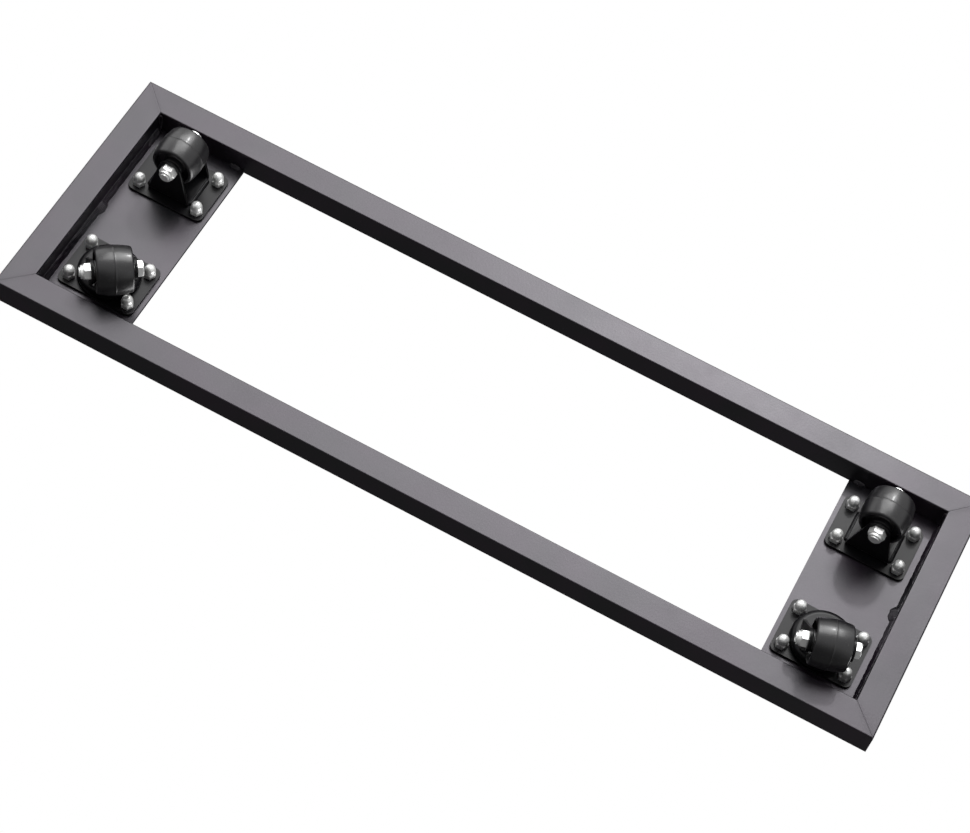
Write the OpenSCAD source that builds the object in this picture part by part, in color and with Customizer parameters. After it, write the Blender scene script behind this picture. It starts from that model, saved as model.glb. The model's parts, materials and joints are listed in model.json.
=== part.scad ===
// Plant caddy: a low rolling frame of mitred square steel tube for one long planter.
// X is the length, Y the width and Z up. The wheels stand on Z = 0.
// The origin is the middle of the footprint on the floor.
// Two fixed casters stand along the front rail (-Y), two swivel casters along the back rail.
// The planter rests on the flat top of the rails and of the two deck plates.

/* [Frame] */
// Overall length of the frame
frame_l = 800; // [500:10:1200]
// Overall width of the frame
frame_w = 250; // [230:5:400]
// Outside size of the square tube
tube = 25; // [20:1:35]
// Wall of the square tube
tube_wall = 1.5; // [1:0.1:3]
// Outside corner radius of the square tube
tube_r = 1.2; // [0.5:0.1:2.5]

/* [Deck plates] */
// Width of each deck plate, from the end rail towards the middle
deck_w = 84; // [82:1:120]
// Thickness of the deck plates
deck_t = 3; // [3:0.1:5]
// Gap between a deck plate and the rails around it, bridged by the tack welds
deck_gap = 0.2; // [0.1:0.05:0.5]

/* [Welds] */
// Leg of the weld bead up each inside corner of the frame
bead_r = 3; // [2:0.5:5]
// Leg of the tack welds under the deck plates
tack_r = 3; // [2:0.5:5]
// Length of the tack weld at the end rail
end_tack_l = 17; // [8:1:30]
// Length of the tack welds at the long rails
side_tack_l = 11; // [6:1:20]
// Distance of the side tacks from the free edge of the deck plate
side_tack_in = 9; // [6:1:14]

/* [Caster plates] */
// Length of a caster's mounting plate, along the frame
base_l = 72; // [68:1:76]
// Width of a caster's mounting plate, across the frame
base_w = 54; // [52:1:60]
// Thickness of a caster's mounting plate
base_t = 2.5; // [2:0.1:4]
// Corner radius of a caster's mounting plate
base_r = 6; // [2:0.5:8]
// Hole spacing along the frame
hole_x = 56; // [54:1:58]
// Hole spacing across the frame
hole_y = 36.5; // [35:0.5:40]
// Diameter of the mounting holes
hole_d = 6.4; // [6.2:0.1:7]
// Gap from a mounting plate to the end rail
end_gap = 8; // [2:1:9]
// Gap from a mounting plate to the long rail beside it
side_gap = 16; // [10:1:22]
// Height of a caster, from the floor to the underside of the deck
caster_h = 62; // [60:0.5:80]

/* [Wheels] */
// Wheel diameter at the middle of its crowned tread
wheel_d = 42; // [40:0.5:44]
// Wheel diameter at the two edges of the tread
rim_d = 38; // [34:0.5:39]
// Width of the tread
tread_w = 31; // [24:0.5:32]
// Width of the wheel over its hub
hub_w = 32; // [32:0.1:32.8]
// Diameter of the raised hub on each side
hub_d = 18; // [15:0.5:22]
// Inside diameter of the rim on each side
dish_d = 32; // [28:0.5:33]
// Depth of the dished face between hub and rim
dish_depth = 4; // [1:0.5:8]

/* [Forks] */
// Thickness of the fork steel
fork_t = 2.5; // [2:0.1:3.5]
// Distance between the two legs of a fork
fork_gap = 33; // [33:0.1:36]
// Radius of the rounded leg end round the axle
leg_end_r = 10; // [8.5:0.5:12]
// Outside bend radius between the legs and the web of a fork
fork_bend = 4; // [3.6:0.1:5]
// Length of the fixed fork where it meets its plate
fixed_fork_l = 40; // [30:1:44]
// Distance of the swivel wheel's axle behind the swivel axis
trail = 22; // [16:0.5:24]
// Reach of the swivel leg in front of the swivel axis
leg_front = 14; // [8:0.5:15]
// Reach of the swivel leg behind the swivel axis, at the crown
leg_back = 15; // [8:0.5:16]

/* [Swivel heads] */
// Radius of the pressed boss in a swivel plate
boss_r = 21; // [19.5:0.5:22]
// Depth of the pressed boss, which takes the kingpin's upper head
boss_drop = 3; // [2.6:0.1:4]
// Radius of the crown that closes the ball race
crown_r = 27; // [26:0.1:27.2]
// Wall of the crown's turned-up lip
lip_t = 2.5; // [1.5:0.1:2.6]
// Gap between the lip and the mounting plate
lip_gap = 2; // [1:0.1:3]
// Outside radius at the bottom edge of the crown
crown_round = 5.8; // [4:0.1:6]
// Diameter of the bearing balls
ball_d = 5; // [4:0.25:5]
// Number of bearing balls
ball_count = 16; // [10:1:18]
// Radius of the circle that the balls run on
race_r = 16; // [15:0.25:16.5]
// Depth to which the balls sink into the boss and into the crown
race_depth = 0.35; // [0.2:0.05:0.6]
// Diameter of the kingpin
pin_d = 8; // [6:0.5:10]
// Diameter of the kingpin's two heads
pin_head_d = 15; // [12:0.5:18]
// Thickness of the kingpin's two heads
pin_head_t = 2.4; // [1.5:0.1:2.8]
// Direction in which the left swivel wheel trails, in degrees from +X
left_turn = 53; // [0:1:360]
// Direction in which the right swivel wheel trails, in degrees from +X
right_turn = 73; // [0:1:360]

/* [Axles] */
// Diameter of the axle bolt
axle_d = 8; // [6:0.5:10]
// Size across flats of the axle bolt's head and nut
axle_af = 13; // [12:0.5:16]
// Thickness of the axle bolt's head
axle_head_t = 5.3; // [4:0.1:6]
// Height of the axle nut's hexagon
axle_nut_t = 6; // [5:0.1:7]
// Height of the round locking collar on the axle nut
collar_t = 2; // [1:0.1:3]
// Diameter of the locking collar
collar_d = 11.4; // [10:0.1:12]
// Length of thread that stands out of the axle nut
thread_out = 1.5; // [0.5:0.1:3]
// Outside diameter of the sleeve that the wheel turns on
sleeve_d = 12; // [11:0.1:14]

/* [Mounting bolts] */
// Diameter of the mounting bolts
bolt_d = 6; // [5:0.1:6]
// Diameter of the countersunk bolt head
bolt_head_d = 12; // [10:0.5:12]
// Length of the mounting bolts, with their heads
bolt_l = 14; // [12:0.5:15]
// Size across flats of the socket in the bolt head
socket_af = 4; // [3:0.5:5]
// Depth of the socket in the bolt head
socket_depth = 1.8; // [1:0.1:2.4]
// Size across flats of the dome nuts
dome_af = 10; // [9:0.5:11]
// Height of the hexagon of a dome nut
dome_hex_h = 5; // [4:0.1:6]
// Diameter of the dome of a dome nut
dome_d = 9.5; // [8:0.1:9.8]
// Overall height of a dome nut
dome_h = 12; // [11.5:0.1:13]

/* [Clearances] */
// Radial clearance between the wheel and its sleeve
wheel_clear = 0.06; // [0.02:0.01:0.1]
// Radial clearance between the kingpin and the crown, and the end play under it
swivel_clear = 0.06; // [0.02:0.01:0.1]
// Clearance round each bearing ball
ball_clear = 0.05; // [0.02:0.01:0.1]
// Radial clearance of bolts and pins that are held still
fixed_clear = 0.1; // [0.02:0.01:0.15]

/* [Hidden] */
$fn = 96;
eps = 1;
sides = ["left", "right"];

// Heights above the floor
deck_z = caster_h;
top_z = deck_z + deck_t;
rail_z = top_z - tube;
base_z = deck_z - base_t;
axle_z = wheel_d / 2;

// Places seen from above
inner_x = frame_l / 2 - tube;
inner_y = frame_w / 2 - tube;
caster_x = inner_x - end_gap - base_l / 2;
caster_y = inner_y - side_gap - base_w / 2;

// Fork and axle
leg_y = fork_gap / 2 + fork_t;
axle_span = 2 * leg_y;
leg_hole_d = axle_d + 2 * fixed_clear;
crown_arc_r = (pow(tread_w / 2, 2) + pow((wheel_d - rim_d) / 2, 2)) / (wheel_d - rim_d);

// Swivel head, from the mounting plate down
boss_z = base_z - boss_drop;
race_gap = ball_d - 2 * race_depth;
crown_top_z = boss_z - race_gap;
crown_z = crown_top_z - fork_t;
lip_top_z = base_z - lip_gap;
ball_z = boss_z - race_gap / 2;
groove_r = ball_d / 2 + ball_clear;
boss_floor_z = boss_z + base_t;

// Point where a line from p touches a circle of radius r round c, on the side given by s
function touch(p, c, r, s) =
    let (d = norm(p - c), base = atan2(p.y - c.y, p.x - c.x), a = base + s * acos(r / d))
    c + r * [cos(a), sin(a)];

// Outline helpers, flat in XY

module round_rectangle(l, w, r) {
    square([l - 2 * r, w], center = true);
    square([l, w - 2 * r], center = true);
    for (x = [-1, 1], y = [-1, 1])
        translate([x * (l / 2 - r), y * (w / 2 - r)])
            circle(r = r);
}

module tube_section() {
    difference() {
        round_rectangle(tube, tube, tube_r);
        square(tube - 2 * tube_wall, center = true);
    }
}

// Block that narrows from its root, between x0 and x1 at height z, to a round end at the axle
module leg_block(x0, x1, z, axle_x) {
    c = [axle_x, axle_z];
    rotate([90, 0, 0])
        linear_extrude(2 * axle_span, center = true)
            polygon([[x0, z], [x1, z], touch([x1, z], c, leg_end_r, -1), touch([x0, z], c, leg_end_r, 1)]);
    translate([axle_x, 0, axle_z])
        rotate([90, 0, 0])
            cylinder(r = leg_end_r, h = 2 * axle_span, center = true);
}

// Cross-section of a fork's two legs and the web that joins them at height z
module fork_section(z) {
    depth = z - axle_z + leg_end_r + eps;
    difference() {
        union() {
            translate([-leg_y, z - depth])
                square([2 * leg_y, depth - fork_bend]);
            translate([-leg_y + fork_bend, z - fork_bend - eps])
                square([2 * (leg_y - fork_bend), fork_bend + eps]);
            for (s = [-1, 1])
                translate([s * (leg_y - fork_bend), z - fork_bend])
                    circle(r = fork_bend);
        }
        translate([-fork_gap / 2, z - depth - eps])
            square([fork_gap, depth + eps - fork_bend]);
        translate([-leg_y + fork_bend, z - depth])
            square([2 * (leg_y - fork_bend), depth - fork_t]);
        for (s = [-1, 1])
            translate([s * (leg_y - fork_bend), z - fork_bend])
                circle(r = fork_bend - fork_t);
    }
}

// Fork shape: the bent section cut to the outline of its legs, with the axle hole
module fork_legs(x0, x1, z, axle_x) {
    reach = 2 * (axle_x + leg_end_r + base_l);
    difference() {
        intersection() {
            rotate([90, 0, 90])
                linear_extrude(reach, center = true)
                    fork_section(z);
            leg_block(x0, x1, z, axle_x);
        }
        translate([axle_x, 0, axle_z])
            rotate([90, 0, 0])
                cylinder(d = leg_hole_d, h = 2 * axle_span, center = true);
    }
}

// Placing

module at_fixed(side) {
    translate([side == "left" ? -caster_x : caster_x, -caster_y, 0])
        children();
}

module at_swivel(side) {
    translate([side == "left" ? -caster_x : caster_x, caster_y, 0])
        children();
}

// A swivel fork and what it carries, turned to where the wheel trails
module turned(side) {
    rotate(side == "left" ? left_turn : right_turn)
        children();
}

module at_holes() {
    for (x = [-1, 1], y = [-1, 1])
        translate([x * hole_x / 2, y * hole_y / 2, 0])
            children();
}

// Frame

module long_rail() {
    half = frame_l / 2;
    intersection() {
        translate([0, -frame_w / 2 + tube / 2, rail_z + tube / 2])
            rotate([90, 0, 90])
                linear_extrude(frame_l, center = true)
                    tube_section();
        translate([0, 0, rail_z - eps])
            linear_extrude(tube + 2 * eps)
                polygon([[-half, -frame_w / 2], [half, -frame_w / 2], [inner_x, -inner_y], [-inner_x, -inner_y]]);
    }
}

module end_rail() {
    half = frame_w / 2;
    intersection() {
        translate([-frame_l / 2 + tube / 2, 0, rail_z + tube / 2])
            rotate([90, 0, 0])
                linear_extrude(frame_w, center = true)
                    tube_section();
        translate([0, 0, rail_z - eps])
            linear_extrude(tube + 2 * eps)
                polygon([[-frame_l / 2, -half], [-inner_x, -inner_y], [-inner_x, inner_y], [-frame_l / 2, half]]);
    }
}

module front_rail() {
    color("#2b2b2e")
        long_rail();
}

module back_rail() {
    color("#2b2b2e")
        rotate(180)
            long_rail();
}

module left_end_rail() {
    color("#2b2b2e")
        end_rail();
}

module right_end_rail() {
    color("#2b2b2e")
        rotate(180)
            end_rail();
}

// Deck plate at the left end, with countersunk holes for both casters
module deck_plate() {
    difference() {
        translate([-inner_x + deck_gap, -inner_y + deck_gap, deck_z])
            cube([deck_w - deck_gap, 2 * (inner_y - deck_gap), deck_t]);
        for (y = [-1, 1])
            translate([-caster_x, y * caster_y, 0])
                at_holes() {
                    translate([0, 0, deck_z - eps])
                        cylinder(d = hole_d, h = deck_t + 2 * eps);
                    countersink(fixed_clear);
                }
    }
}

// The cone under a countersunk head, grown by a clearance
module countersink(clear) {
    drop = (bolt_head_d - bolt_d) / 2;
    translate([0, 0, top_z - drop])
        cylinder(d1 = bolt_d + 2 * clear, d2 = bolt_head_d + 2 * clear, h = drop);
}

module left_deck_plate() {
    color("#323236")
        deck_plate();
}

module right_deck_plate() {
    color("#323236")
        rotate(180)
            deck_plate();
}

// Weld beads up the four inside corners of the frame
module corner_welds() {
    color("#2b2b2e")
        for (x = [-1, 1], y = [-1, 1])
            scale([x, y, 1])
                intersection() {
                    translate([inner_x, inner_y, rail_z + tube_r])
                        cylinder(r = bead_r, h = deck_z - rail_z - tube_r);
                    translate([inner_x - 2 * bead_r, inner_y - 2 * bead_r, rail_z])
                        cube([2 * bead_r, 2 * bead_r, tube]);
                }
}

// A tack weld along X in the corner between a deck plate above it and a wall at y = 0
module tack(l) {
    intersection() {
        union() {
            rotate([0, 90, 0])
                cylinder(r = tack_r, h = l - 2 * tack_r, center = true);
            for (s = [-1, 1])
                translate([s * (l / 2 - tack_r), 0, 0])
                    sphere(r = tack_r);
        }
        translate([-l, 0, -2 * tack_r])
            cube([2 * l, 2 * tack_r, 2 * tack_r]);
    }
}

module deck_tack_welds() {
    side_x = inner_x - deck_w + side_tack_in;
    color("#2b2b2e")
        for (a = [0, 180])
            rotate(a) {
                translate([-inner_x, 0, deck_z])
                    rotate(-90)
                        tack(end_tack_l);
                for (s = [0, 1])
                    mirror([0, s, 0])
                        translate([-side_x, -inner_y, deck_z])
                            tack(side_tack_l);
            }
}

// Parts that all four casters share, drawn round the caster's own vertical axis

module plate_blank() {
    difference() {
        translate([0, 0, base_z])
            linear_extrude(base_t)
                round_rectangle(base_l, base_w, base_r);
        at_holes()
            translate([0, 0, base_z - eps])
                cylinder(d = hole_d, h = base_t + 2 * eps);
    }
}

// A wheel with a crowned tread, dished sides and a plain bore, on an axle along Y at x
module wheel(x) {
    bore_r = sleeve_d / 2 + wheel_clear;
    color("#1c1c1e")
        translate([x, 0, axle_z])
            rotate([90, 0, 0])
                rotate_extrude()
                    difference() {
                        union() {
                            intersection() {
                                translate([wheel_d / 2 - crown_arc_r, 0])
                                    circle(r = crown_arc_r, $fn = 360);
                                translate([0, -tread_w / 2])
                                    square([wheel_d, tread_w]);
                            }
                            translate([0, -hub_w / 2])
                                square([hub_d / 2, hub_w]);
                        }
                        translate([-eps, -hub_w])
                            square([bore_r + eps, 2 * hub_w]);
                        for (s = [-1, 1])
                            translate([hub_d / 2, s * tread_w / 2 - dish_depth])
                                square([(dish_d - hub_d) / 2, 2 * dish_depth]);
                    }
}

// Hexagon with chamfered corners on its outer end, standing on z = 0
module hexagon(af, h) {
    across = af / cos(30);
    intersection() {
        cylinder(d = across, h = h, $fn = 6);
        cylinder(d1 = af * 0.95 + 2 * h, d2 = af * 0.95, h = h);
    }
}

// Axle bolt with its head at -Y
module axle_bolt(x) {
    l = axle_span + axle_nut_t + collar_t + thread_out;
    color("#c9ccce")
        translate([x, -leg_y, axle_z]) {
            rotate([90, 0, 0])
                hexagon(axle_af, axle_head_t);
            rotate([-90, 0, 0])
                cylinder(d = axle_d, h = l);
        }
}

// Lock nut: a hexagon with a round collar on its outer side
module axle_nut(x) {
    nut_l = axle_nut_t + collar_t;
    color("#c9ccce")
        translate([x, leg_y, axle_z])
            rotate([-90, 0, 0])
                difference() {
                    union() {
                        hexagon(axle_af, axle_nut_t);
                        cylinder(d = collar_d, h = nut_l);
                    }
                    translate([0, 0, -eps])
                        cylinder(d = axle_d + 2 * fixed_clear, h = nut_l + 2 * eps);
                }
}

module axle_sleeve(x) {
    color("#b9bcbf")
        translate([x, 0, axle_z])
            rotate([90, 0, 0])
                difference() {
                    cylinder(d = sleeve_d, h = fork_gap, center = true);
                    cylinder(d = axle_d + 2 * fixed_clear, h = fork_gap + 2 * eps, center = true);
                }
}

// Countersunk bolts from the top of the deck
module mounting_bolts() {
    color("#c9ccce")
        at_holes()
            difference() {
                union() {
                    countersink(0);
                    translate([0, 0, top_z - bolt_l])
                        cylinder(d = bolt_d, h = bolt_l - socket_depth);
                }
                translate([0, 0, top_z - socket_depth])
                    cylinder(d = socket_af / cos(30), h = socket_depth + eps, $fn = 6);
            }
}

// Dome nuts under the mounting plate
module dome_nuts() {
    bore_l = bolt_l - deck_t - base_t + 1;
    color("#d2d5d7")
        at_holes()
            translate([0, 0, base_z])
                mirror([0, 0, 1])
                    difference() {
                        union() {
                            hexagon(dome_af, dome_hex_h);
                            cylinder(d = dome_d, h = dome_h - dome_d / 2);
                            translate([0, 0, dome_h - dome_d / 2])
                                sphere(d = dome_d);
                        }
                        translate([0, 0, -eps])
                            cylinder(d = bolt_d + 2 * fixed_clear, h = bore_l + eps);
                    }
}

// Fixed casters

module fixed_plate() {
    color("#1d1d20")
        plate_blank();
}

module fixed_fork() {
    color("#151517")
        fork_legs(-fixed_fork_l / 2, fixed_fork_l / 2, base_z, 0);
}

// Swivel casters

// Mounting plate with the pressed boss that holds the ball race
module swivel_plate() {
    hollow_r = boss_r - base_t;
    color("#1d1d20")
        difference() {
            union() {
                plate_blank();
                translate([0, 0, boss_z])
                    cylinder(r = boss_r, h = boss_drop + eps);
            }
            translate([0, 0, boss_floor_z])
                cylinder(r = hollow_r, h = deck_z);
            translate([0, 0, boss_z - eps])
                cylinder(d = pin_d + 2 * fixed_clear, h = deck_z);
            rotate_extrude()
                translate([race_r, ball_z])
                    circle(r = groove_r);
        }
}

// Riveted pin: its upper head lies in the boss, its lower head carries the crown
module kingpin() {
    lower_z = crown_z - swivel_clear;
    color("#b9bcbf") {
        translate([0, 0, boss_floor_z])
            cylinder(d = pin_head_d, h = pin_head_t);
        translate([0, 0, lower_z - pin_head_t / 2])
            cylinder(d = pin_d, h = boss_floor_z - lower_z + pin_head_t);
        translate([0, 0, lower_z - pin_head_t])
            cylinder(d1 = pin_head_d - pin_head_t, d2 = pin_head_d, h = pin_head_t);
    }
}

module balls() {
    color("#d2d5d7")
        for (i = [0 : ball_count - 1])
            rotate(i * 360 / ball_count)
                translate([race_r, 0, ball_z])
                    sphere(d = ball_d);
}

// Section of the crown: a flat disc with a turned-up lip, a pin hole and a ball groove
module crown_section() {
    lip_h = lip_top_z - crown_z;
    difference() {
        union() {
            translate([0, crown_z])
                square([crown_r - crown_round, lip_h]);
            translate([0, crown_z + crown_round])
                square([crown_r, lip_h - crown_round]);
            translate([crown_r - crown_round, crown_z + crown_round])
                circle(r = crown_round);
        }
        translate([-eps, crown_top_z])
            square([crown_r - crown_round + eps, lip_h]);
        translate([-eps, crown_z + crown_round])
            square([crown_r - lip_t + eps, lip_h]);
        translate([crown_r - crown_round, crown_z + crown_round])
            circle(r = crown_round - fork_t);
        translate([0, lip_top_z])
            square([crown_r + eps, crown_round]);
        translate([race_r, ball_z])
            circle(r = groove_r);
        translate([-eps, crown_z - eps])
            square([pin_d / 2 + swivel_clear + eps, lip_h]);
    }
}

module swivel_fork() {
    color("#151517")
        difference() {
            union() {
                rotate_extrude()
                    crown_section();
                fork_legs(-leg_front, leg_back, crown_top_z, trail);
            }
            translate([0, 0, crown_z - eps])
                cylinder(r = pin_d / 2 + swivel_clear, h = fork_t + 2 * eps);
            rotate_extrude()
                translate([race_r, ball_z])
                    circle(r = groove_r);
        }
}

front_rail();
back_rail();
left_end_rail();
right_end_rail();
left_deck_plate();
right_deck_plate();
corner_welds();
deck_tack_welds();

for (s = sides) {
    at_fixed(s) fixed_plate();
    at_fixed(s) fixed_fork();
    at_fixed(s) wheel(0);
    at_fixed(s) axle_bolt(0);
    at_fixed(s) axle_nut(0);
    at_fixed(s) axle_sleeve(0);
    at_fixed(s) mounting_bolts();
    at_fixed(s) dome_nuts();
}

for (s = sides) {
    at_swivel(s) swivel_plate();
    at_swivel(s) kingpin();
    at_swivel(s) turned(s) balls();
    at_swivel(s) turned(s) swivel_fork();
    at_swivel(s) turned(s) wheel(trail);
    at_swivel(s) turned(s) axle_bolt(trail);
    at_swivel(s) turned(s) axle_nut(trail);
    at_swivel(s) turned(s) axle_sleeve(trail);
    at_swivel(s) mounting_bolts();
    at_swivel(s) dome_nuts();
}
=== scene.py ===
# %% [markdown]
# # A plant caddy, dressed for its photograph
#
# The caddy is a low frame of black square tube on four small casters. The photograph looks at it
# from beneath, so this scene leaves the caddy standing on its wheels and puts the camera under
# the floor, looking up. The construction comes in as a finished frame: nothing here moves or
# resizes it. What is left to do is all that makes it look real: rounded edges, weld beads,
# moulded wheels, plated nuts, paint, and the light.

# %% Load the construction
import json
import math

import bmesh
import bpy
from mathutils import Matrix, Vector, noise


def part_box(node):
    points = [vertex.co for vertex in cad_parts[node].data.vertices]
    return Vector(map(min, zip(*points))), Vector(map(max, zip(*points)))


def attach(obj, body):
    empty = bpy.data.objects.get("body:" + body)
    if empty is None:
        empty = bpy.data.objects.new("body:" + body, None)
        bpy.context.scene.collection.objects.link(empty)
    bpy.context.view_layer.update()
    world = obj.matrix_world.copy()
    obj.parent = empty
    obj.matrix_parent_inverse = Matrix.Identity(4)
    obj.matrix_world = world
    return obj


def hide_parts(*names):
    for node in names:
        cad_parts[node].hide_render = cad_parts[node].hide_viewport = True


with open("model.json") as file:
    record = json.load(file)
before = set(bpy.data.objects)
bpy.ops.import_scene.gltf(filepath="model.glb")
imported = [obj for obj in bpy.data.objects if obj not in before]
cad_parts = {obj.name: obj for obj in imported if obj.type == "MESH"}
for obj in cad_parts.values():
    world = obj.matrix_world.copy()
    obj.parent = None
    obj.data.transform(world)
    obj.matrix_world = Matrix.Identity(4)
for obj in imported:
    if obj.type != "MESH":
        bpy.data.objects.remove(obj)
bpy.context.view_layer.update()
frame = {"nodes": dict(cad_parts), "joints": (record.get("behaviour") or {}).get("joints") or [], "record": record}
bpy.context.scene.view_settings.view_transform = "Standard"
MM = 0.001

# %% [markdown]
# ## The camera
#
# The camera was found by matching the frame's corners and edges to the photograph, as a surveyor
# resects a position. It stands about 2.25 m away, under the floor, and is rolled so that the
# frame runs from upper left to lower right. A Track To constraint could aim it, but not roll it,
# so its matrix is built from two directions: where it looks, and what lies on its right.
# Blender's camera looks along its own -Z, so the matrix has the right, the up and the backward
# direction as its columns.

# %% Camera at the photograph's viewing angle
PHOTO_WIDTH = 970
FOCAL_PIXELS = 2768.14
SENSOR = 36.0
CAMERA_PLACE = Vector((0.29989, 1.22802, -1.85851))
CAMERA_FORWARD = Vector((-0.130222, -0.530951, 0.837337)).normalized()
CAMERA_RIGHT = Vector((0.881732, -0.448233, -0.147096)).normalized()
NEAREST_SEEN, FARTHEST_SEEN = 0.05, 50.0


def make_camera():
    """Creates the camera and makes it the scene's own."""
    data = bpy.data.cameras.new("photo_camera")
    data.sensor_width = SENSOR
    data.lens = FOCAL_PIXELS / PHOTO_WIDTH * SENSOR
    data.clip_start = NEAREST_SEEN
    data.clip_end = FARTHEST_SEEN
    camera = bpy.data.objects.new("photo_camera", data)
    up = CAMERA_RIGHT.cross(CAMERA_FORWARD)
    turn = Matrix((CAMERA_RIGHT, up, -CAMERA_FORWARD)).transposed().to_4x4()
    camera.matrix_world = Matrix.Translation(CAMERA_PLACE) @ turn
    bpy.context.scene.collection.objects.link(camera)
    bpy.context.scene.camera = camera
    print(f"lens {data.lens:.1f} mm, {CAMERA_PLACE.length:.2f} m from the caddy's origin")


make_camera()

# %% [markdown]
# ## Writing shader maths as sums
#
# A material is a net of nodes, and building one node by node is long to read. The small class
# below wraps an output socket, so that `a * b + 0.1` adds the Math nodes for that sum. The
# reflected forms let a plain number stand on the left, as in `1 - mask`. Every other node comes
# from one method, which takes the node's type, its settings and the values or links of its inputs.


# %% Sockets that can be added and multiplied
class Wire:
    """An output socket of a node tree, for use in sums and products."""

    def __init__(self, net, socket):
        self.net = net
        self.socket = socket

    def _maths(self, operation, *values):
        inputs = dict(enumerate(values))
        return self.net.node("ShaderNodeMath", {"operation": operation}, inputs)

    def __add__(self, other):
        return self._maths("ADD", self, other)

    def __sub__(self, other):
        return self._maths("SUBTRACT", self, other)

    def __rsub__(self, other):
        return self._maths("SUBTRACT", other, self)

    def __mul__(self, other):
        return self._maths("MULTIPLY", self, other)

    __radd__ = __add__
    __rmul__ = __mul__

    def at_most(self, other):
        return self._maths("MINIMUM", self, other)

    def above(self, other):
        return self._maths("GREATER_THAN", self, other)

    def size(self):
        return self._maths("ABSOLUTE", self)


class Net:
    """A node tree, emptied, to which nodes are added."""

    def __init__(self, tree):
        self.tree = tree
        tree.nodes.clear()

    def node(self, kind, settings=None, inputs=None, output=0):
        """Adds a node: its settings first, then the values or links of its inputs."""
        made = self.tree.nodes.new(kind)
        for name, value in (settings or {}).items():
            if name == "stops":
                self._set_stops(made.color_ramp, value)
            else:
                setattr(made, name, value)
        for name, value in (inputs or {}).items():
            if isinstance(value, Wire):
                self.tree.links.new(value.socket, made.inputs[name])
            else:
                made.inputs[name].default_value = value
        return Wire(self, made.outputs[output]) if len(made.outputs) else made

    @staticmethod
    def _set_stops(ramp, stops):
        """Sets the two stops that a new ramp has, each to a (position, grey) pair."""
        for element, (position, grey) in zip(ramp.elements, stops):
            element.position = position
            element.color = (grey, grey, grey, 1.0)


def colour(red, green, blue):
    """A linear colour with full alpha."""
    return (red, green, blue, 1.0)


# %% [markdown]
# ## Patterns that every finish shares
#
# A pattern could be placed by UV maps, but square tube and pressed sheet have no need of them.
# Object coordinates are in metres and start at the caddy's own origin, so a noise with a scale of
# 500 has spots of about 2 mm wherever it is used. The same coordinates travel with a piece when
# its body turns, so a pattern never slides over the surface.


# %% Noise, ramps, bumps and a new material
class Finish(Net):
    """A material with one Principled shader, and the patterns it is built from."""

    def __init__(self, name):
        self.material = bpy.data.materials.new(name)
        self.material.use_nodes = True
        super().__init__(self.material.node_tree)
        self.place = self.node("ShaderNodeTexCoord", output="Object")

    def along(self, axis):
        """One of the Object coordinates, in metres."""
        return self.node("ShaderNodeSeparateXYZ", inputs={0: self.place}, output=axis)

    def noise(self, scale, detail=2.0, roughness=0.5, stretch=None):
        """Noise from 0 to 1, with `scale` spots a metre.

        `stretch` makes the spots shorter along an axis where it is over 1, and longer under 1.
        """
        place = self.place
        if stretch:
            place = self.node("ShaderNodeMapping", inputs={"Vector": place, "Scale": stretch})
        inputs = {"Vector": place, "Scale": scale, "Detail": detail, "Roughness": roughness}
        return self.node("ShaderNodeTexNoise", inputs=inputs)

    def ramp(self, value, start, end):
        """0 where the value is under start, 1 where it is over end, and a straight rise between."""
        stops = [(start, 0.0), (end, 1.0)]
        return self.node("ShaderNodeValToRGB", {"stops": stops}, {"Fac": value})

    def blend(self, share, first, second):
        """A colour between `first` and `second`."""
        inputs = {0: share, 6: first, 7: second}
        return self.node("ShaderNodeMix", {"data_type": "RGBA"}, inputs, output=2)

    def bump(self, height, strength, distance, over=None):
        """A relief of `height`, at full strength `distance` high, laid over another relief."""
        inputs = {"Height": height, "Strength": strength, "Distance": distance}
        if over:
            inputs["Normal"] = over
        return self.node("ShaderNodeBump", inputs=inputs)

    def shade(self, **inputs):
        """Ends the material with a Principled shader. An underscore stands for a space."""
        named = {name.replace("_", " "): value for name, value in inputs.items()}
        shader = self.node("ShaderNodeBsdfPrincipled", inputs=named)
        self.node("ShaderNodeOutputMaterial", inputs={"Surface": shader})
        print(f"{self.material.name}: {len(self.tree.nodes)} nodes")
        return self.material


finishes = {}

# %% [markdown]
# ## Black powder coat
#
# The frame is sprayed with dry powder and baked. The film is about a tenth of a millimetre thick
# and dries with a faint orange peel, which is why a lamp's reflection in it is broad and soft. The
# photograph shows the faces towards the camera as an even grey sheen and the others almost black:
# the colour itself is nearly black, and the grey is all reflection. A grey colour would look the
# same from every side, so the sheen is left to the lamps. The film wanders a little between a
# purple and a neutral black, and a few specks of dust lie in it. Where the rails meet, the weld
# under the paint has been ground flat, and a hair line still shows along each mitre.

# %% Where the mitres run
end_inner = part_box("right_end_rail")[0].x
side_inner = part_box("back_rail")[0].y
MITRE_HALF = 0.7 * MM
GROUND_HALF = 7 * MM
print(f"inside corners at x {end_inner / MM:.1f} mm and y {side_inner / MM:.1f} mm")


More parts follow.
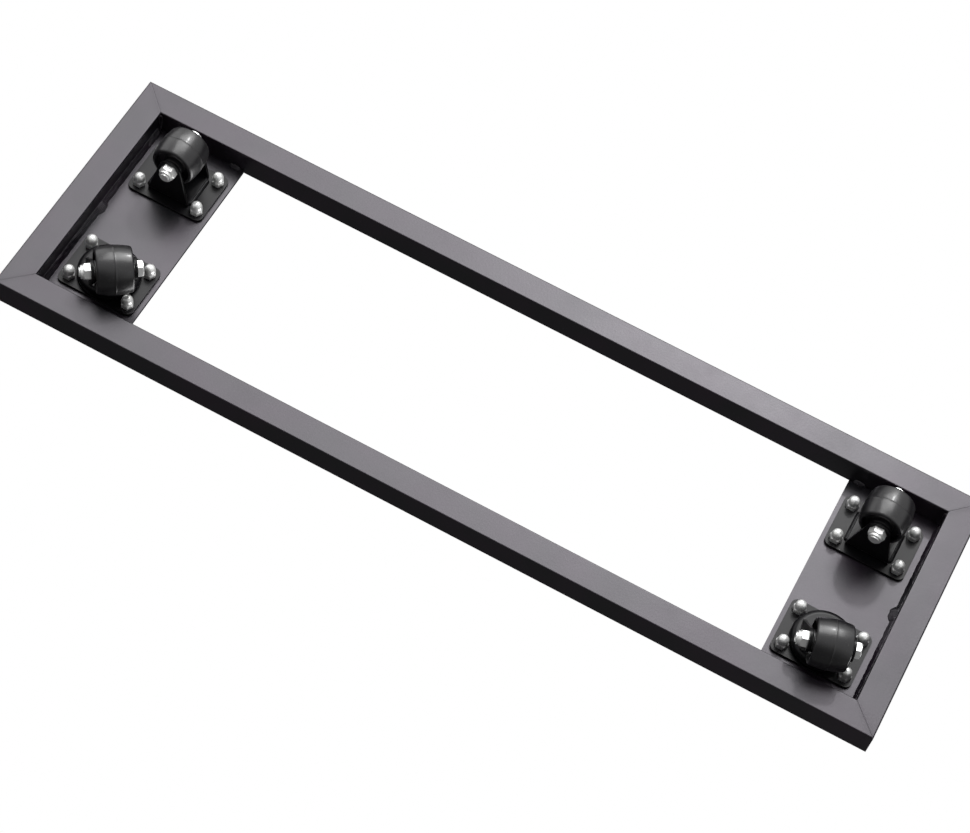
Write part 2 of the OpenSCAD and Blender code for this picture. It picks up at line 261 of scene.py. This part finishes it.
# %% Paint for the frame
def powder_coat():
    paint = Finish("black_powder_coat")
    purple_black = colour(0.010, 0.005, 0.0105)
    neutral_black = colour(0.005, 0.005, 0.0065)
    dust = colour(0.12, 0.12, 0.12)
    drift = paint.ramp(paint.noise(22.0, detail=3.0), 0.36, 0.62)
    speck = paint.ramp(paint.noise(1500.0, detail=1.0), 0.72, 0.80)
    smudge = paint.ramp(paint.noise(30.0, detail=4.0, roughness=0.6), 0.35, 0.75)
    film = paint.blend(speck * 0.3, paint.blend(drift, purple_black, neutral_black), dust)

    across, beside = paint.along("X").size(), paint.along("Y").size()
    off_mitre = (across - beside - (end_inner - side_inner)).size()
    in_corner = across.above(end_inner)

    def beside_mitre(half):
        """1 on a mitre, falling to 0 at the distance `half` on either side."""
        return (1 - (off_mitre * (1 / half)).at_most(1.0)) * in_corner

    ground = beside_mitre(GROUND_HALF)
    peel = paint.noise(480.0, detail=2.0) + paint.noise(2600.0, detail=1.0) * 0.25
    scratch = paint.noise(900.0, detail=3.0, stretch=(0.25, 1.0, 1.0))
    skin = paint.bump(peel, strength=0.3, distance=0.1 * MM)
    skin = paint.bump(scratch * ground, strength=0.5, distance=0.1 * MM, over=skin)
    skin = paint.bump(1 - beside_mitre(MITRE_HALF), strength=0.3, distance=0.3 * MM, over=skin)
    return paint.shade(
        Base_Color=film,
        Roughness=smudge * 0.04 + ground * 0.04 + 0.32,
        Normal=skin,
        Specular_Tint=colour(0.97, 0.93, 1.0),
    )


finishes["powder_coat"] = powder_coat()

# %% [markdown]
# ## Black caster steel
#
# Forks and mounting plates are pressed from sheet and get a thinner, smoother black than the
# frame. In the photograph they are clearly darker than the deck they are bolted to, so the paint
# mirrors less light. It is rubbed to a dull grey in small spots. Faint drawing lines from the
# press stay visible under the paint. They are too shallow to be worth cutting into the mesh.


# %% Paint for forks and mounting plates
def caster_steel():
    paint = Finish("black_caster_steel")
    deep_black = colour(0.004, 0.004, 0.0045)
    worn_black = colour(0.007, 0.0065, 0.008)
    rubbed = colour(0.05, 0.05, 0.05)
    drift = paint.noise(45.0, detail=3.0)
    rub = paint.ramp(paint.noise(420.0, detail=4.0, roughness=0.7), 0.66, 0.74)
    film = paint.blend(rub * 0.35, paint.blend(drift, deep_black, worn_black), rubbed)
    drawn = paint.noise(260.0, detail=2.0, stretch=(1.0, 1.0, 0.15))
    return paint.shade(
        Base_Color=film,
        Roughness=drift * 0.08 + 0.28,
        Normal=paint.bump(drawn, strength=0.25, distance=0.08 * MM),
        Specular_IOR_Level=0.17,
    )


finishes["caster_steel"] = caster_steel()

# %% [markdown]
# ## Moulded nylon
#
# The wheels are injection-moulded, and the plastic is dyed black right through. Rolling has
# scuffed the tread to a duller patchwork. The scuffs run in no particular direction, because a
# caster's wheel is turned and dragged every way. One roughness could not give both the smooth
# skin from the mould and the dull scuffs, so a thin, sharper coat lies over a rough base.


# %% Plastic for the wheels
def moulded_nylon():
    plastic = Finish("black_nylon")
    deep_black = colour(0.005, 0.0045, 0.0055)
    pale_black = colour(0.008, 0.0075, 0.009)
    dust_colour = colour(0.10, 0.10, 0.095)
    cloud = plastic.noise(70.0, detail=3.0)
    scuff = plastic.ramp(plastic.noise(380.0, detail=5.0, roughness=0.7), 0.45, 0.7)
    dust = plastic.ramp(plastic.noise(900.0, detail=3.0), 0.62, 0.75)
    body = plastic.blend(dust * 0.3, plastic.blend(cloud, deep_black, pale_black), dust_colour)
    pores = plastic.noise(1900.0, detail=2.0)
    return plastic.shade(
        Base_Color=body,
        Roughness=scuff * 0.08 + 0.35,
        Normal=plastic.bump(pores + scuff * 0.5, strength=0.2, distance=0.08 * MM),
        Coat_Weight=0.27,
        Coat_Roughness=0.17,
    )


finishes["wheel_plastic"] = moulded_nylon()

# %% [markdown]
# ## Bright zinc
#
# Nuts and bolts are barrel-plated: they tumble together in the bath, which leaves a bright metal
# with fine bruises and a faint blue and straw tint. A pure mirror would show the dark half of the
# studio as black patches, but the photograph's nuts are pale all over. The bruises scatter that
# much light, so the shader is a little less than half metal, and the rest is a pale matt colour.


# %% Plating for nuts and bolts
def bright_zinc():
    plate = Finish("bright_zinc")
    blue_tint = colour(0.88, 0.90, 0.92)
    straw_tint = colour(0.92, 0.91, 0.87)
    bruise = plate.ramp(plate.noise(1300.0, detail=4.0, roughness=0.65), 0.4, 0.7)
    return plate.shade(
        Base_Color=plate.blend(plate.noise(330.0, detail=2.0), blue_tint, straw_tint),
        Metallic=0.45,
        Roughness=bruise * 0.08 + 0.28,
        Normal=plate.bump(bruise, strength=0.2, distance=0.04 * MM),
    )


finishes["zinc_plate"] = bright_zinc()

# %% [markdown]
# ## Bare turned steel
#
# The kingpins, the bearing balls and the sleeves in the wheels are bare steel with a film of oil.
# Tool marks run round an upright kingpin, so the noise is squeezed along the vertical. Rings cut
# into the mesh would cost many faces for marks that are shallower than a hair is thick. The balls
# and sleeves hardly show, and share the finish.


# %% Steel for pins, balls and sleeves
def bare_steel():
    steel = Finish("bare_steel")
    dark_steel = colour(0.46, 0.46, 0.47)
    pale_steel = colour(0.62, 0.61, 0.59)
    turned = steel.noise(900.0, detail=3.0, stretch=(0.3, 0.3, 3.0))
    oil = steel.noise(150.0, detail=3.0)
    return steel.shade(
        Base_Color=steel.blend(oil, dark_steel, pale_steel),
        Metallic=1.0,
        Roughness=turned * 0.2 + 0.18,
        Normal=steel.bump(turned, strength=0.25, distance=0.04 * MM),
    )


finishes["plain_steel"] = bare_steel()

# %% A finish for every node
slots = {row["node"]: row["material_slot"] for row in frame["record"]["subparts"]}
for name, node in frame["nodes"].items():
    node.data.materials.clear()
    node.data.materials.append(finishes[slots[name]])
print(len(finishes), "finishes on", len(frame["nodes"]), "pieces of the construction")

# %% [markdown]
# ## Putting a new piece in its place
#
# Every new piece ends the same way. Its vertices already are where they belong, so the object
# stays at the origin: a piece that was moved as an object would lose its place when the model is
# exported. It rides on the body of the node that it stands for, takes that node's finish, and
# hides the node. Shading is smooth, and breaks only at edges that turn sharply.

# %% From a bmesh to a piece of the caddy
bodies = frame["record"]["behaviour"]["bodies"]
node_body = {node: body for body, nodes in bodies.items() for node in nodes}


def publish(bm, name, like, stands_for=(), sharp=40):
    """Makes a piece of the bmesh. It rides with the node `like` and has its finish.

    Edges that turn by more than `sharp` degrees stay hard.
    """
    mesh = bpy.data.meshes.new(name)
    bm.to_mesh(mesh)
    bm.free()
    mesh.shade_smooth()
    mesh.set_sharp_from_angle(angle=math.radians(sharp))
    mesh.materials.append(finishes[slots[like]])
    piece = bpy.data.objects.new(name, mesh)
    bpy.context.scene.collection.objects.link(piece)
    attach(piece, node_body[like])
    if stands_for:
        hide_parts(*stands_for)
    even = piece.modifiers.new("flat_faces_stay_flat", "WEIGHTED_NORMAL")
    even.keep_sharp = True
    print(f"{name}: {len(mesh.polygons)} faces")


# %% [markdown]
# ## Wheels
#
# A wheel is a body of revolution: a crowned tread, rounded shoulders, a dished face on each side
# and a hub round the axle. It could be carved out of a cylinder, but an outline keeps each radius
# as one number. Half of it is drawn once, from the hub to the middle of the tread, its corners are
# rounded with a bevel, and the outline is mirrored and spun about the axle. Where the two halves
# of the mould meet, a fine ridge runs round the middle of the tread.

# %% Wheel sizes, from the construction where it shows them
low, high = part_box("fixed_wheel_left")
TREAD_R = (high.z - low.z) / 2
HUB_HALF = (high.y - low.y) / 2
TREAD_HALF = HUB_HALF - 0.5 * MM
SHOULDER_DROP = 2 * MM
CROWN_R = (TREAD_HALF**2 + SHOULDER_DROP**2) / (2 * SHOULDER_DROP)
BORE_R = 6.06 * MM
HUB_R = 9 * MM
HUB_LEAN = 0.6 * MM
DISH_R = 16 * MM
DISH_LEAN = 0.8 * MM
DISH_DEPTH = 4 * MM
RIDGE_HEIGHT = 0.22 * MM
RIDGE_HALF = 0.5 * MM
RIDGE_TOP_HALF = RIDGE_HALF / 4
DISH_ROUND = 0.5 * MM
RIM_ROUND = 0.2 * MM
SHOULDER_ROUND = 1.6 * MM
print(f"tread radius {TREAD_R / MM:.1f} mm, crowned to a radius of {CROWN_R / MM:.1f} mm")

# %% Half of a wheel's outline
CROWN_STEPS = 8
ROUND_STEPS = 4


def tread_height(y):
    """Radius of the crowned tread at a distance y from the middle, less the ridge's height."""
    return TREAD_R - RIDGE_HEIGHT - CROWN_R + math.sqrt(CROWN_R**2 - y * y)


def wheel_outline(bm):
    """Half an outline, from the bore out to the middle of the tread, as (radius, distance)."""
    corners = [
        (BORE_R, HUB_HALF),
        (HUB_R, HUB_HALF),
        (HUB_R + HUB_LEAN, TREAD_HALF - DISH_DEPTH),
        (DISH_R - DISH_LEAN, TREAD_HALF - DISH_DEPTH),
        (DISH_R, TREAD_HALF),
        (tread_height(TREAD_HALF), TREAD_HALF),
    ]
    crown = [TREAD_HALF * (1 - i / CROWN_STEPS) for i in range(1, CROWN_STEPS)]
    tread = [(tread_height(y), y) for y in crown + [RIDGE_HALF]]
    ridge = [(TREAD_R, RIDGE_TOP_HALF)]
    verts = [bm.verts.new((r, y, 0)) for r, y in corners + tread + ridge]
    for pair in zip(verts, verts[1:]):
        bm.edges.new(pair)
    hub_and_dish, rim, shoulder = verts[1:4], verts[4:5], verts[5:6]
    rounds = [(hub_and_dish, DISH_ROUND), (rim, RIM_ROUND), (shoulder, SHOULDER_ROUND)]
    for chosen, radius in rounds:
        bmesh.ops.bevel(
            bm, geom=chosen, offset=radius, segments=ROUND_STEPS, affect="VERTICES",
            profile=0.5, material=-1,
        )


# %% The four wheels
joints = {joint["name"]: joint for joint in frame["joints"]}
WHEEL_STEPS = 96
SAME_PLACE = 1e-6  # vertices that lie nearer than this are merged


def make_wheel(node, joint):
    """Mirrors the outline, closes it at the bore and the ridge, and spins it about the joint."""
    bm = bmesh.new()
    wheel_outline(bm)
    bmesh.ops.mirror(bm, geom=bm.verts[:] + bm.edges[:], axis="Y", merge_dist=SAME_PLACE)
    bm.edges.new(sorted(bm.verts, key=lambda vert: vert.co.x)[:2])
    bm.edges.new([vert for vert in bm.verts if abs(vert.co.y) < RIDGE_HALF / 2])
    bmesh.ops.spin(
        bm, geom=bm.verts[:] + bm.edges[:], cent=(0, 0, 0), axis=(0, 1, 0),
        angle=math.tau, steps=WHEEL_STEPS, use_merge=True,
    )
    bmesh.ops.remove_doubles(bm, verts=bm.verts, dist=SAME_PLACE)
    bmesh.ops.recalc_face_normals(bm, faces=bm.faces)
    axle = Vector(joint["axis"])
    turn = Matrix.Rotation(math.atan2(-axle.x, axle.y), 4, "Z")
    bmesh.ops.transform(bm, matrix=Matrix.Translation(joint["pos_m"]) @ turn, verts=bm.verts)
    publish(bm, "moulded_" + node, node, [node])


for kind in ("fixed", "swivel"):
    for side in ("left", "right"):
        make_wheel(f"{kind}_wheel_{side}", joints[f"{side}_{kind}_wheel_spin"])

# %% [markdown]
# ## Softened steel
#
# Pressed sheet, cut bar and plated nuts have no knife edges: shears and tumbling round every one
# of them, and those thin rounds are what catches the light. A Bevel modifier on the construction
# itself would split it open, because its mesh is loose triangles. So a copy of the mesh is taken,
# its triangles are merged, flat regions are made whole again, and every sharp edge is bevelled by
# a width that suits the piece.

# %% A copy with rounded edges
FLAT_ANGLE = math.radians(0.6)
EDGE_ANGLE = math.radians(28)
EDGE_SEGMENTS = 2
SOFT_SHARP = 50  # degrees: a square edge's round turns by 45 at most in one step, and stays smooth


def soften(node, width):
    """Puts a copy of the node with rounded edges in the node's place."""
    bm = bmesh.new()
    bm.from_mesh(frame["nodes"][node].data)
    bmesh.ops.remove_doubles(bm, verts=bm.verts, dist=SAME_PLACE)
    bmesh.ops.dissolve_limit(bm, angle_limit=FLAT_ANGLE, verts=bm.verts, edges=bm.edges)
    whole = [edge for edge in bm.edges if edge.is_manifold]
    crease = [edge for edge in whole if edge.calc_face_angle(0) > EDGE_ANGLE]
    bmesh.ops.bevel(
        bm, geom=crease, offset=width, segments=EDGE_SEGMENTS, affect="EDGES", profile=0.5,
        material=-1, clamp_overlap=True, loop_slide=True,
    )
    publish(bm, "softened_" + node, node, [node], sharp=SOFT_SHARP)


# %% Softened casters and deck plates
CASTER_EDGES = {
    "plate": 0.5 * MM,
    "fork": 0.45 * MM,
    "axle_bolt": 0.25 * MM,
    "axle_nut": 0.25 * MM,
    "kingpin": 0.3 * MM,
    "mounting_bolts": 0.2 * MM,
    "dome_nuts": 0.2 * MM,
}
DECK_EDGE = 0.3 * MM
for node in sorted(frame["nodes"]):
    for part, width in CASTER_EDGES.items():
        if node.startswith(("fixed_" + part, "swivel_" + part)):
            soften(node, width)
for node in ("left_deck_plate", "right_deck_plate"):
    soften(node, DECK_EDGE)

# %% [markdown]
# ## Weld beads
#
# The rails are welded at their inside corners, and the deck plates along the end rails, with a
# thicker tack in the middle and one near each end of the free edge. A hand-laid bead is a row of
# overlapping puddles, each frozen before the next is laid, so it has curved ripples a millimetre
# or two apart, an uneven width and rounded ends. A bump in the paint could draw the ripples, but
# not the bead's own thickness, which shows against the edge of a plate. So a grid is wrapped round
# the corner line: one way it runs along the bead, the other way round it, and its first and last
# row meet inside the steel.

# %% A rippled bead in the corner between two faces
RING_STEP = 0.3 * MM
BEAD_SIDES = 10
BURIED = 0.25 * MM
TUCK = 5  # degrees by which a bead's sides turn past the faces that it lies on
RIPPLE_PITCH = 1.5 * MM
RIPPLE_BEND = 0.4  # of the pitch, by which the middle of a ripple runs ahead
RIPPLE_DEPTH = 0.09  # of the bead's size
WANDER_DEPTH = 0.12  # of the bead's size
WANDER_SCALE = 280  # spots a metre


def bead(bm, start, end, first, second, legs, bulge=0.0):
    """A bead from start to end. It reaches legs[0] along `first` and legs[1] along `second`.

    Its face is flat with a bulge of 0 and a quarter round with a bulge of 1.
    """
    length = (end - start).length
    along = (end - start).normalized()
    rings = round(length / RING_STEP)
    grid = bmesh.ops.create_grid(bm, x_segments=rings, y_segments=BEAD_SIDES, size=0.5)
    for vert in grid["verts"]:
        way, turn = (vert.co.x + 0.5) * length, vert.co.y + 0.5
        on_line = start + along * way
        if round(turn * BEAD_SIDES) in (0, BEAD_SIDES):
            vert.co = on_line - (first + second) * BURIED
            continue
        share = (turn - 1 / BEAD_SIDES) / (1 - 2 / BEAD_SIDES)
        angle = math.radians(-TUCK + (90 + 2 * TUCK) * share)
        edge = max(0.0, 1 - min(way, length - way) / max(legs))
        puddle = (way / RIPPLE_PITCH + RIPPLE_BEND * math.sin(math.pi * share)) % 1
        wander = noise.noise(on_line * WANDER_SCALE + Vector((0, 0, 2 * share)))
        size = math.sqrt(1 - edge * edge)
        size *= (1 - RIPPLE_DEPTH * puddle**2) * (1 + WANDER_DEPTH * wander)
        flat = 1 / (abs(math.cos(angle)) + abs(math.sin(angle)))
        size *= flat + (1 - flat) * bulge
        reach = first * math.cos(angle) * legs[0] + second * math.sin(angle) * legs[1]
        vert.co = on_line + reach * size


def close_beads(bm):
    """Merges the buried rows and the rounded ends, and turns the faces outwards."""
    bmesh.ops.remove_doubles(bm, verts=bm.verts, dist=SAME_PLACE)
    bmesh.ops.recalc_face_normals(bm, faces=bm.faces)


# %% Beads up the inside corners of the frame
DOWN = Vector((0, 0, -1))
CORNER_LEGS = (2.6 * MM, 2.6 * MM)
CORNER_FOOT = 3 * MM
rail_low, deck_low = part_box("front_rail")[0].z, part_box("left_deck_plate")[0].z
corner_bm = bmesh.new()
for end_sign in (-1, 1):
    for side_sign in (-1, 1):
        foot = Vector((end_sign * end_inner, side_sign * side_inner, rail_low + CORNER_FOOT))
        head = Vector((foot.x, foot.y, deck_low))
        inward, sideways = Vector((-end_sign, 0, 0)), Vector((0, -side_sign, 0))
        bead(corner_bm, foot, head, inward, sideways, CORNER_LEGS)
close_beads(corner_bm)
publish(corner_bm, "rippled_corner_welds", "corner_welds", ["corner_welds"])

# %% The deck plates' welds
SEAM_LEGS = {-1: (4.4 * MM, 6.0 * MM), 1: (3.2 * MM, 4.5 * MM)}
END_TACK_LEGS = (7.0 * MM, 6.0 * MM)
END_TACK_HALF = 8.5 * MM
SIDE_TACK_LEGS = (3.0 * MM, 3.6 * MM)
SIDE_TACK_HALF = Vector((5.5 * MM, 0, 0))
SIDE_TACK_IN = 9 * MM
deck_bm = bmesh.new()
for end_sign, plate in ((-1, "left_deck_plate"), (1, "right_deck_plate")):
    low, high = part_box(plate)
    free_edge = high.x if end_sign < 0 else low.x
    inward = Vector((-end_sign, 0, 0))
    for half, legs in ((side_inner, SEAM_LEGS[end_sign]), (END_TACK_HALF, END_TACK_LEGS)):
        ends = [Vector((end_sign * end_inner, sign * half, deck_low)) for sign in (-1, 1)]
        bead(deck_bm, *ends, inward, DOWN, legs)
    for side_sign in (-1, 1):
        middle = Vector((free_edge + end_sign * SIDE_TACK_IN, side_sign * side_inner, deck_low))
        ends = middle - SIDE_TACK_HALF, middle + SIDE_TACK_HALF
        bead(deck_bm, *ends, Vector((0, -side_sign, 0)), DOWN, SIDE_TACK_LEGS)
close_beads(deck_bm)
publish(deck_bm, "rippled_deck_welds", "deck_tack_welds", ["deck_tack_welds"])

# %% [markdown]
# ## Fillets at the fixed forks
#
# A fixed fork is welded to its mounting plate along the two cut edges of its web. In the
# photograph these edges show as light lines, because the top of a bead is rounded and always has
# some place that faces the lamp. A wider bevel on the fork would round the wrong side of the
# corner, so each edge gets a small bead of its own.

# %% A bead along each cut edge of the web
FORK_LEGS = (2.4 * MM, 2.3 * MM)
FORK_BEAD_IN = Vector((0, 3 * MM, 0))
FORK_BULGE = 0.5
for side in ("left", "right"):
    fork = "fixed_fork_" + side
    low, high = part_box(fork)
    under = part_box("fixed_plate_" + side)[0].z
    fillet_bm = bmesh.new()
    for x, sign in ((low.x, -1), (high.x, 1)):
        start = Vector((x, low.y, under)) + FORK_BEAD_IN
        end = Vector((x, high.y, under)) - FORK_BEAD_IN
        bead(fillet_bm, start, end, Vector((sign, 0, 0)), DOWN, FORK_LEGS, bulge=FORK_BULGE)
    close_beads(fillet_bm)
    publish(fillet_bm, "fork_fillets_" + side, fork)

# %% [markdown]
# ## Floor, world and lamps
#
# The floor is seen only from above. For every other ray it isn't there, so the camera can look up
# through it and the lamps under it reach the caddy.
#
# The photograph's light falls on the caddy's underside, so the main lamps hang below it. The grey
# of the paint is the blurred mirror image of one broad softbox. A smaller, harder lamp adds the
# sheen towards the right end, and gives the shadows of the casters there a second outline. The
# world could be one even grey, but then metal would look like plaster: bright metal mirrors a pale
# studio below, and faces that look up or towards the camera mirror its dark side.

# %% A floor that is seen from above only
FLOOR_HALF = 4.0
FLOOR_COLOUR = colour(0.80, 0.80, 0.80)


def make_floor():
    bm = bmesh.new()
    bmesh.ops.create_grid(bm, x_segments=1, y_segments=1, size=FLOOR_HALF)
    mesh = bpy.data.meshes.new("floor")
    bm.to_mesh(mesh)
    bm.free()
    floor = bpy.data.objects.new("floor", mesh)
    bpy.context.scene.collection.objects.link(floor)
    material = bpy.data.materials.new("pale_floor")
    material.use_nodes = True
    net = Net(material.node_tree)
    seen = net.node("ShaderNodeLightPath", output="Is Camera Ray")
    back = net.node("ShaderNodeNewGeometry", output="Backfacing")
    clear = net.node("ShaderNodeBsdfTransparent")
    pale = net.node("ShaderNodeBsdfDiffuse", inputs={"Color": FLOOR_COLOUR})
    both = net.node("ShaderNodeMixShader", inputs={0: seen * (1 - back), 1: clear, 2: pale})
    net.node("ShaderNodeOutputMaterial", inputs={"Surface": both})
    mesh.materials.append(material)
    print(f"floor: {2 * FLOOR_HALF:.0f} m wide")


make_floor()

# %% White to the camera; to reflections a pale studio below and a dark ceiling
STUDIO_LIGHT = 0.9
CAMERA_SIDE_LIGHT = 0.15
AMBIENT_LIGHT = 0.22
# Each range holds the part of a unit direction at which a light is none, and at which it is all.
HORIZON = (0.05, -0.25)
STUDIO_EDGE = (0.85, 0.3)
CAMERA_SIDE_EDGE = (0.1, 0.8)


def make_world():
    world = bpy.data.worlds.new("studio")
    bpy.context.scene.world = world
    world.use_nodes = True
    net = Net(world.node_tree)
    ray_kinds = ("Is Camera Ray", "Is Glossy Ray", "Is Transmission Ray")
    seen, glossy, through = (net.node("ShaderNodeLightPath", output=kind) for kind in ray_kinds)
    direction = net.node("ShaderNodeTexCoord", output="Generated")
    to_camera_side, upwards = (
        net.node("ShaderNodeSeparateXYZ", inputs={0: direction}, output=axis) for axis in "YZ"
    )

    def grows(value, limits, light):
        """Light that grows softly over a range of the value."""
        none, full = limits
        inputs = {"Value": value, "From Min": none, "From Max": full, "To Min": 0, "To Max": light}
        return net.node("ShaderNodeMapRange", {"interpolation_type": "SMOOTHSTEP"}, inputs)

    pale = grows(upwards, HORIZON, STUDIO_LIGHT) * grows(to_camera_side, STUDIO_EDGE, 1.0)
    room = pale + grows(to_camera_side, CAMERA_SIDE_EDGE, CAMERA_SIDE_LIGHT)
    mirror = (glossy + through).at_most(1.0)
    strength = seen + mirror * room + (1 - seen) * (1 - mirror) * AMBIENT_LIGHT
    white = colour(1, 1, 1)
    light = net.node("ShaderNodeBackground", inputs={"Color": white, "Strength": strength})
    net.node("ShaderNodeOutputWorld", inputs={"Surface": light})
    print(f"{world.name}: {len(net.tree.nodes)} nodes")


make_world()


# %% Softboxes
def softbox(name, toward, distance, size, light):
    """A lamp that lies `toward` that direction and faces the caddy. Lengths are in metres.

    A card that faces it gets `light` watts a square metre, and pi is plain level.
    """
    place = Vector(toward).normalized() * distance
    data = bpy.data.lights.new(name, "AREA")
    data.shape = "RECTANGLE"
    data.size, data.size_y = size
    data.energy = 4 * light * distance**2
    lamp = bpy.data.objects.new(name, data)
    turn = (-place).to_track_quat("-Z", "Y").to_matrix().to_4x4()
    lamp.matrix_world = Matrix.Translation(place) @ turn
    bpy.context.scene.collection.objects.link(lamp)
    print(f"{name}: {data.energy:.0f} W")


softbox("key_below", toward=(-0.19, -0.64, -1.0), distance=3.5, size=(3.0, 2.5), light=2.4)
softbox("spot_below", toward=(-0.05, -0.9, -1.0), distance=8.0, size=(0.5, 0.5), light=0.52)
softbox("side_left", toward=(-0.88, -0.4, -0.24), distance=1.35, size=(0.8, 0.8), light=0.25)
softbox("key_above", toward=(0.85, 0.1, 0.75), distance=7.0, size=(6.0, 6.0), light=2.3)
